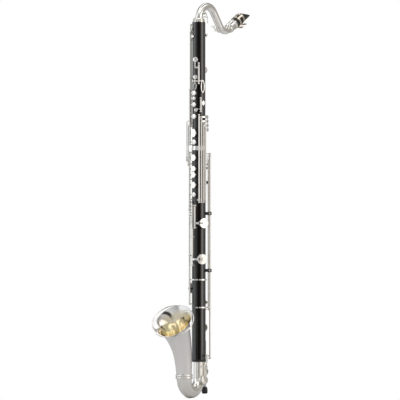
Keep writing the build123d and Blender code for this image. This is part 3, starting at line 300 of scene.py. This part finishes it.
def darkWood(name, base, streakTone, roughness):
    made, tree, skin = newFinish(name, Specular_IOR_Level=woodShine["bare"], Coat_IOR=woodShine["ior"],
                                 Coat_Roughness=woodShine["satin"])
    slant = put(tree, "ShaderNodeLayerWeight", {"Blend": 0.5}).outputs["Facing"]
    tree.links.new(between(tree, slant, *woodShine["slant"], *woodShine["level"]),
                   skin.inputs["Coat Weight"])
    grain = place(tree, fibre, size=woodGrain["fibres"])
    marks = place(tree, handling, size=woodGrain["patch"])
    colour = blendColour(tree, grain.outputs["Streak"], base, streakTone)
    colour = blendColour(tree, grain.outputs["Pore"], colour, woodGrain["pore"])
    tree.links.new(colour, skin.inputs["Base Color"])
    cloud = sums(tree, "MULTIPLY", marks.outputs["Smudge"], woodGrain["cloud"])
    satin = between(tree, grain.outputs["Streak"], 0, 1, *roughness)
    tree.links.new(sums(tree, "ADD", satin, cloud), skin.inputs["Roughness"])
    ridges = sums(tree, "SUBTRACT", grain.outputs["Streak"], grain.outputs["Pore"])
    bump(tree, skin, ridges, *woodGrain["relief"])
    return made


def softBlack(name, base, bloomTone, roughness, size, depth):
    made, tree, skin = newFinish(name, Specular_IOR_Level=0.5)
    grit = place(tree, granule, size=size)
    marks = place(tree, handling, size=45.0)
    tree.links.new(blendColour(tree, grit.outputs["Bloom"], base, bloomTone), skin.inputs["Base Color"])
    tree.links.new(between(tree, marks.outputs["Smudge"], 0, 1, *roughness), skin.inputs["Roughness"])
    bump(tree, skin, grit.outputs["Bloom"], 0.15, depth)
    return made


corkTones = {"crumbs": 1400.0, "dark": (0.20, 0.10, 0.045), "light": (0.55, 0.34, 0.18),
             "roughness": (0.7, 0.95), "relief": (0.4, 0.12)}


def corkFinish():
    made, tree, skin = newFinish("corkSleeve", Specular_IOR_Level=0.25)
    grit = place(tree, granule, size=corkTones["crumbs"])
    colour = blendColour(tree, grit.outputs["Crumb"], corkTones["dark"], corkTones["light"])
    tree.links.new(colour, skin.inputs["Base Color"])
    rough = between(tree, grit.outputs["Bloom"], 0, 1, *corkTones["roughness"])
    tree.links.new(rough, skin.inputs["Roughness"])
    bump(tree, skin, grit.outputs["Crumb"], *corkTones["relief"])
    return made


caneTones = {"fibres": 900.0, "dark": (0.74, 0.56, 0.28), "light": (0.86, 0.72, 0.44),
             "vessel": (0.50, 0.33, 0.14), "roughness": (0.42, 0.6), "relief": (0.2, 0.04)}


def caneFinish():
    made, tree, skin = newFinish("reedCane", Specular_IOR_Level=0.35)
    grain = place(tree, fibre, size=caneTones["fibres"])
    colour = blendColour(tree, grain.outputs["Streak"], caneTones["dark"], caneTones["light"])
    colour = blendColour(tree, grain.outputs["Pore"], colour, caneTones["vessel"])
    tree.links.new(colour, skin.inputs["Base Color"])
    rough = between(tree, grain.outputs["Streak"], 0, 1, *caneTones["roughness"])
    tree.links.new(rough, skin.inputs["Roughness"])
    bump(tree, skin, grain.outputs["Streak"], *caneTones["relief"])
    return made


padTones = {"creases": 700.0, "patch": 160.0, "clean": (0.88, 0.84, 0.74), "worn": (0.74, 0.66, 0.50),
            "roughness": (0.38, 0.62), "relief": (0.12, 0.05)}


def padFinish():
    # fish skin stretched over felt, with faint creases
    made, tree, skin = newFinish("padSkin", Specular_IOR_Level=0.4, Subsurface_Weight=0.1,
                                 Subsurface_Radius=(0.002, 0.0015, 0.001))
    grit = place(tree, granule, size=padTones["creases"])
    marks = place(tree, handling, size=padTones["patch"])
    colour = blendColour(tree, marks.outputs["Smudge"], padTones["clean"], padTones["worn"])
    tree.links.new(colour, skin.inputs["Base Color"])
    rough = between(tree, grit.outputs["Bloom"], 0, 1, *padTones["roughness"])
    tree.links.new(rough, skin.inputs["Roughness"])
    bump(tree, skin, grit.outputs["Crumb"], *padTones["relief"])
    return made


grenadilla = darkWood("grenadilla", (0.0025, 0.0019, 0.0017), (0.0085, 0.0058, 0.0042), (0.16, 0.24))
ebonite = softBlack("ebonite", (0.008, 0.010, 0.010), (0.016, 0.018, 0.018), (0.10, 0.20), 1200.0, 0.02)
rubber = softBlack("footRubber", (0.010, 0.011, 0.011), (0.022, 0.022, 0.022), (0.48, 0.62), 2200.0, 0.08)
blackPlastic = softBlack("blackPlastic", (0.010, 0.013, 0.014), (0.020, 0.024, 0.025), (0.24, 0.36),
                         1800.0, 0.03)
cork, cane, padSkin = corkFinish(), caneFinish(), padFinish()

finishes = {
    "silver": keySilver, "grenadilla": grenadilla, "cork": cork, "ebonite": ebonite, "cane": cane,
    "steel": steel, "rubber": rubber, "black_plastic": blackPlastic, "pad_skin": padSkin,
}
bodySilver = ["bell_bow", "bell_ring", "neck_tube", "neck_socket", "top_collar", "upper_ring",
              "lower_ring", "peg_holder", "peg_screw"]
special = {
    "bell_flare": bellSilver,
    **dict.fromkeys(bodySilver, silver),
    **dict.fromkeys(["ligature", "ligature_screw_1", "ligature_screw_2"], champagne),
}
slotOf = {part["node"]: part["material_slot"] for part in frame["record"]["subparts"]}
for name, node in nodes.items():
    finish = special.get(name, finishes[slotOf[name]])
    for holder in node.material_slots:
        holder.material = finish
print("finishes placed")


# mesh helpers
def finished(name, mesh, finish, body):
    bmesh.ops.remove_doubles(mesh, verts=mesh.verts, dist=1e-6)
    bmesh.ops.recalc_face_normals(mesh, faces=mesh.faces)
    data = bpy.data.meshes.new(name)
    mesh.to_mesh(data)
    mesh.free()
    for face in data.polygons:
        face.use_smooth = True
    piece = bpy.data.objects.new(name, data)
    bpy.context.scene.collection.objects.link(piece)
    data.materials.append(finish)
    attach(piece, body)
    return piece


def turnedPiece(mesh, profile, steps):
    # spins an outline of (radius, height) points about +Z, in millimetres
    corners = [mesh.verts.new((radius * mm, 0, height * mm)) for radius, height in profile]
    edges = [mesh.edges.new(pair) for pair in zip(corners, corners[1:])]
    bmesh.ops.spin(mesh, geom=corners + edges, cent=(0, 0, 0), axis=(0, 0, 1), angle=2 * pi,
                   steps=steps, use_merge=True)
    bmesh.ops.remove_doubles(mesh, verts=mesh.verts, dist=1e-7)


def turnAbout(joint, degrees):
    spot = Vector(joint["pos_m"])
    return (Matrix.Translation(spot) @ Matrix.Rotation(radians(degrees), 4, Vector(joint["axis"]))
            @ Matrix.Translation(-spot))


# pads: a felt disc in skin, pressed by its tone hole
pad = {
    "wall": 0.8,          # cup wall outside the pad
    "proud": 0.7,         # pad in front of its cup's rim
    "depth": 1.75,        # pad inside its cup
    "press": 0.16,        # depth of the ring that the tone hole leaves
    "holeShare": 0.62,    # tone hole against cup
    "seat": 0.8,          # half the wall round the tone hole
    "groove": 0.5,        # half the width of the pressed ring
    "ease": 0.03,         # gap to the cup wall
    "crown": 0.02,        # fall of the skin outside the ring
    "steps": 56,
}
woodRadius = {"upper": 18.8, "lower": 19.6}
seatAbove = 1.66          # closed cup's rim above the wood
padSpots = {
    # key: bearing, height, cup diameter, and the turn from closed to rest
    "index_plate": [(0, 156.5, 14.5, -7), (0, 141.5, 10.5, -7)],
    "middle_plate": [(0, 123.7, 13.5, -7)],
    "ring_plate": [(0, 89.8, 14.5, -7)],
    "long_plate": [(0, 42.8, 17, -7)],
    "bridge_plate": [(0, 17.1, 15, -7)],
    "right_index_plate": [(0, -27.6, 16, -7)],
    "right_middle_plate": [(0, -59.3, 15, -7), (0, -76.5, 14.5, -7)],
    "right_ring_plate": [(0, -105.5, 16, -7), (0, -132.5, 13.5, -7)],
    "throat_a_key": [(8, 251.7, 15, 0)],
    "cross_key": [(12, 108, 10, 0)],
    "register_key": [(125, 322, 9.5, 0)],
    "side_key_1": [(-28, 318, 12, 0)],
    "side_key_2": [(-44, 340, 12, 0)],
    "throat_gs_key": [(8, 201.5, 13, 0)],
    "eb_key": [(-88, -400, 28, 6)],
    "thumb_d_key": [(178, -440, 21, -6)],
    "thumb_cs_key": [(178, -512, 24, 6)],
    "fs_key": [(72, -214, 29, -6)],
    "f_key": [(60, -316.6, 30, -6)],
}
ownSeats = {
    # key: cup rim from the bore, bearing, height, cup diameter, and the turn from closed to rest
    "low_c_key": (18.51, 80, -660, 25, -4.5),
    "neck_key": (15.96, 125, 385, 9.5, 0),
}
ownPads = {"fs_key": "fs_pad", "f_key": "f_pad", "low_c_key": "low_c_pad"}    # plain pads to replace


def makePad(name, key, cupRim, bearing, height, size, restTurn):
    reach = size / 2 - pad["wall"] - pad["ease"]
    ring = size / 2 * pad["holeShare"] + pad["seat"]
    front, flank = -pad["proud"], -pad["proud"] + pad["press"] * 0.6
    mesh = bmesh.new()
    turnedPiece(mesh, [
        (0, front), (ring - 2 * pad["groove"], front + pad["crown"]), (ring - pad["groove"], flank),
        (ring, front + pad["press"]), (ring + 0.9 * pad["groove"], flank),
        (max(ring + 0.9, reach - 0.9), front + pad["crown"]), (reach - 0.4, front + 0.10),
        (reach - 0.12, front + 0.30), (reach, front + 0.62), (reach, pad["depth"]), (0, pad["depth"]),
    ], pad["steps"])
    closed = standingOut(around(bearing, cupRim * mm, height * mm), around(bearing, 1))
    mesh.transform(turnAbout(joints[key], restTurn) @ closed)
    piece = finished(name, mesh, padSkin, key)
    if key in ownPads:
        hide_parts(ownPads[key])


for key, spots in padSpots.items():
    for count, spot in enumerate(spots, start=1):
        if key in ownPads:
            name = key.replace("_key", "_cup_pad")
        else:
            name = f"{key}_pad" if len(spots) == 1 else f"{key}_pad_{count}"
        wood = woodRadius["upper" if spot[1] > 0 else "lower"]
        makePad(name, key, wood + seatAbove, *spot)
for key, spot in ownSeats.items():
    makePad(key.replace("_key", "_cup_pad"), key, *spot)
print("pads made")

bowGuard = {
    "middle": (-0.037, -0.656),   # y and z that the bow bends about
    "bend": 0.037,
    "tube": (0.01475, 0.0215),    # tube at the wood side and at the bell side
    "sweep": (8.0, 66.0),         # degrees up from the lowest point, towards the bell
    "halfWidth": 0.0052,
    "thick": 0.0011,
    "sunk": 0.0004,               # solder side, inside the tube's skin
    "rounding": 0.0004,
}


def makeBowGuard():
    # a soldered plate on the outside of the bend, where it rests in a stand
    mesh = bmesh.new()
    bmesh.ops.create_grid(mesh, x_segments=64, y_segments=12, size=1)
    low, high = bowGuard["sweep"]
    for corner in mesh.verts:
        along, across = corner.co.x, corner.co.y
        share = (along + 1) / 2
        taper = min(1, 3.2 * (1 - abs(along)) + 0.35) ** 0.5
        turn = radians(low + (high - low) * share)
        tube = bowGuard["tube"][0] + (bowGuard["tube"][1] - bowGuard["tube"][0]) * (turn + pi / 2) / pi
        side = across * taper * bowGuard["halfWidth"] / tube
        out = Vector((0, -sin(turn), -cos(turn)))
        middle = Vector((0, *bowGuard["middle"])) + out * bowGuard["bend"]
        corner.co = middle + (out * cos(side) + Vector((sin(side), 0, 0))) * (tube - bowGuard["sunk"])
    faces = bmesh.ops.extrude_face_region(mesh, geom=mesh.faces[:])["geom"]
    for corner in (part for part in faces if isinstance(part, bmesh.types.BMVert)):
        out = Vector((0, corner.co.y - bowGuard["middle"][0], corner.co.z - bowGuard["middle"][1]))
        corner.co += out.normalized() * (bowGuard["thick"] + bowGuard["sunk"])
    bmesh.ops.recalc_face_normals(mesh, faces=mesh.faces)
    rim = [edge for edge in mesh.edges if len(edge.link_faces) == 2 and edge.calc_face_angle(0) > 0.9]
    bmesh.ops.bevel(mesh, geom=rim, offset=bowGuard["rounding"], offset_type="OFFSET", affect="EDGES",
                    segments=3, profile=0.5, material=-1)
    return finished("bow_guard", mesh, silver, "body")


makeBowGuard()
print("bow guard made")

guideScrew = {
    # bearing of the face it sits in, distance from the bore, heights, and the way it looks
    "bearing": 114, "reach": 31.2, "heights": (-186.4, -348.8), "looks": 24,
    "radius": 2.3, "dome": 0.9, "slot": 0.32, "slotDepth": 0.55, "slotTurn": 35,
    "root": 0.6,      # how far it goes into the rod guide
    "steps": 40,
}


def makeScrewHead(name, spot, out):
    # a domed head in two halves on a thin base, so that the gap between them is the slot
    radius, dome = guideScrew["radius"], guideScrew["dome"]
    floorLevel = dome - guideScrew["slotDepth"]
    mesh = bmesh.new()
    root, steps = -guideScrew["root"], guideScrew["steps"]
    turnedPiece(mesh, [(0, root), (radius, root), (radius, floorLevel - 0.1), (radius - 0.08, floorLevel),
                       (0, floorLevel)], steps)
    for way in (1, -1):
        half = bmesh.new()
        turnedPiece(half, [(0, floorLevel), (radius - 0.08, floorLevel), (radius * 0.86, dome * 0.66),
                           (radius * 0.55, dome * 0.9), (0, dome)], steps)
        cut = bmesh.ops.bisect_plane(half, geom=half.verts[:] + half.edges[:] + half.faces[:],
                                     plane_co=(0, way * guideScrew["slot"] * mm, 0),
                                     plane_no=(0, way, 0), clear_inner=True)
        bmesh.ops.holes_fill(half, edges=[part for part in cut["geom_cut"]
                                          if isinstance(part, bmesh.types.BMEdge)], sides=0)
        part = bpy.data.meshes.new("half")
        half.to_mesh(part)
        half.free()
        mesh.from_mesh(part)
        bpy.data.meshes.remove(part)
    turn = Matrix.Rotation(radians(guideScrew["slotTurn"]), 4, "Z")
    mesh.transform(standingOut(spot, out) @ turn)
    return finished(name, mesh, keySilver, "body")


for count, height in enumerate(guideScrew["heights"], start=1):
    spot = around(guideScrew["bearing"], guideScrew["reach"] * mm, height * mm)
    makeScrewHead(f"guide_screw_{count}", spot, around(guideScrew["looks"], 1))
print("guide screws made")


# floor, light and camera
camera = {
    "azimuth": 34.0,        # from the front towards the player's left
    "distance": 14.0,
    "frameWidth": 1.14,     # metres across the picture at the instrument
    "sensor": 36.0,
    "aside": 0.0034,        # aim to the right of the bore
    "height": -0.148,
}
toCamera = around(camera["azimuth"], 1)
rightward = Vector((cos(radians(camera["azimuth"])), sin(radians(camera["azimuth"])), 0))


def makeCamera():
    lens = bpy.data.cameras.new("studioCamera")
    lens.sensor_width = camera["sensor"]
    lens.lens = camera["sensor"] * camera["distance"] / camera["frameWidth"]
    lens.clip_end = 100
    seat = bpy.data.objects.new("studioCamera", lens)
    bpy.context.scene.collection.objects.link(seat)
    aim = rightward * camera["aside"] + Vector((0, 0, camera["height"]))
    seat.location = aim + toCamera * camera["distance"]
    seat.rotation_mode = "QUATERNION"
    seat.rotation_quaternion = (-toCamera).to_track_quat("-Z", "Y")
    bpy.context.scene.camera = seat


studio = {
    # bearing from the camera, positive to its right, and the brightness of the walls there
    "walls": [(-180, 0.16), (-145, 0.26), (-122, 0.80), (-64, 0.90), (-54, 0.38), (-12, 0.66),
              (-7, 0.03), (5, 0.03), (9, 0.56), (34, 0.44), (40, 1.15), (78, 1.15), (92, 0.42),
              (140, 0.34), (180, 0.16)],
    "warm": (1.0, 0.955, 0.91),
    "cool": (0.95, 0.985, 1.0),
    "ceiling": (0.16, 1.20),        # between its beams, and on them
    "beams": 0.42,
    "beamWander": 1.2,
    "beamEdge": (0.25, 0.7),
    "ceilingFrom": (0.45, 0.75),    # how steeply up a ray goes to meet the ceiling
    "tableFrom": (-0.25, -0.6),
    "table": 0.60,
    "backdrop": 1.0,
}


def makeStudio():
    world = bpy.data.worlds.new("studio")
    bpy.context.scene.world = world
    world.use_nodes = True
    tree = world.node_tree
    tree.nodes.clear()
    ray = put(tree, "ShaderNodeTexCoord").outputs["Generated"]
    ahead = put(tree, "ShaderNodeVectorMath", {0: ray, 1: tuple(toCamera)}, operation="DOT_PRODUCT")
    aside = put(tree, "ShaderNodeVectorMath", {0: ray, 1: tuple(rightward)}, operation="DOT_PRODUCT")
    angle = sums(tree, "ARCTAN2", aside.outputs["Value"], ahead.outputs["Value"])
    share = between(tree, angle, -pi, pi)
    ramp = put(tree, "ShaderNodeValToRGB", {"Fac": share})
    stops = ramp.color_ramp.elements
    walls = studio["walls"]
    for bearing, level in walls[1:-1]:
        stops.new((bearing + 180) / 360)
    for stop, (bearing, level) in zip(stops, walls):
        stop.position = (bearing + 180) / 360
        stop.color = tuple(level * tone for tone in studio["warm" if bearing > 0 else "cool"]) + (1,)
    lift = put(tree, "ShaderNodeSeparateXYZ", {0: ray}).outputs["Z"]
    up = between(tree, lift, *studio["ceilingFrom"])
    down = between(tree, lift, *studio["tableFrom"])
    beams = put(tree, "ShaderNodeTexWave", {"Vector": ray, "Scale": studio["beams"], "Detail": 0.0,
                                            "Distortion": studio["beamWander"]}).outputs["Fac"]
    dark, light = studio["ceiling"]
    overhead = blendColour(tree, between(tree, beams, *studio["beamEdge"]), (dark,) * 3, (light,) * 3)
    shade = blendColour(tree, up, ramp.outputs["Color"], overhead)
    shade = blendColour(tree, down, shade, (studio["table"],) * 3)
    seen = put(tree, "ShaderNodeLightPath").outputs["Is Camera Ray"]
    shade = blendColour(tree, seen, shade, (studio["backdrop"],) * 3)
    sky = put(tree, "ShaderNodeBackground", {"Color": shade})
    put(tree, "ShaderNodeOutputWorld", {"Surface": sky.outputs[0]})


lamps = {
    # bearing from the camera, elevation, distance, width, height, power in watts
    "leftBox": (-78, 22, 2.6, 0.9, 2.0, 3.2),
    "rightBox": (60, 12, 2.6, 0.9, 2.2, 5.0),
    "topBox": (-20, 72, 2.6, 1.8, 1.2, 5.0),
}


def makeLamps():
    for name, (bearing, lift, distance, wide, tall, power) in lamps.items():
        light = bpy.data.lights.new(name, "AREA")
        light.shape = "RECTANGLE"
        light.size, light.size_y, light.energy = wide, tall, power
        light.color = studio["warm"]
        lamp = bpy.data.objects.new(name, light)
        bpy.context.scene.collection.objects.link(lamp)
        turn, rise = radians(bearing), radians(lift)
        way = (toCamera * cos(turn) + rightward * sin(turn)) * cos(rise) + Vector((0, 0, sin(rise)))
        lamp.location = Vector((0, 0, camera["height"])) + way * distance
        lamp.rotation_mode = "QUATERNION"
        lamp.rotation_quaternion = (-way).to_track_quat("-Z", "Y")
        lamp.visible_camera = False


ground = {"radius": 12.0, "gap": 0.0006, "fade": (0.35, 1.6), "tone": (0.72, 0.72, 0.72, 1)}


def makeGround():
    # light comes up from it, but it isn't seen, as the peg can be drawn out below it
    mesh = bmesh.new()
    bmesh.ops.create_circle(mesh, cap_ends=True, radius=ground["radius"], segments=96)
    data = bpy.data.meshes.new("floor")
    mesh.to_mesh(data)
    mesh.free()
    piece = bpy.data.objects.new("floor", data)
    bpy.context.scene.collection.objects.link(piece)
    piece.location.z = cadBox[0].z - ground["gap"]
    piece.visible_camera = False
    made, tree, skin = newFinish("paleFloor", Roughness=0.7, Specular_IOR_Level=0.1)
    skin.inputs["Base Color"].default_value = ground["tone"]
    where = put(tree, "ShaderNodeTexCoord").outputs["Object"]
    away = put(tree, "ShaderNodeVectorMath", {0: where}, operation="LENGTH").outputs["Value"]
    fade = between(tree, away, *ground["fade"])
    clear = put(tree, "ShaderNodeBsdfTransparent")
    mixed = put(tree, "ShaderNodeMixShader", {0: fade, 1: skin.outputs[0], 2: clear.outputs[0]})
    tree.links.new(mixed.outputs[0], tree.nodes["Material Output"].inputs["Surface"])
    data.materials.append(made)


makeCamera()
makeStudio()
makeLamps()
makeGround()
bpy.context.scene.view_settings.view_transform = "Standard"
print("studio ready")
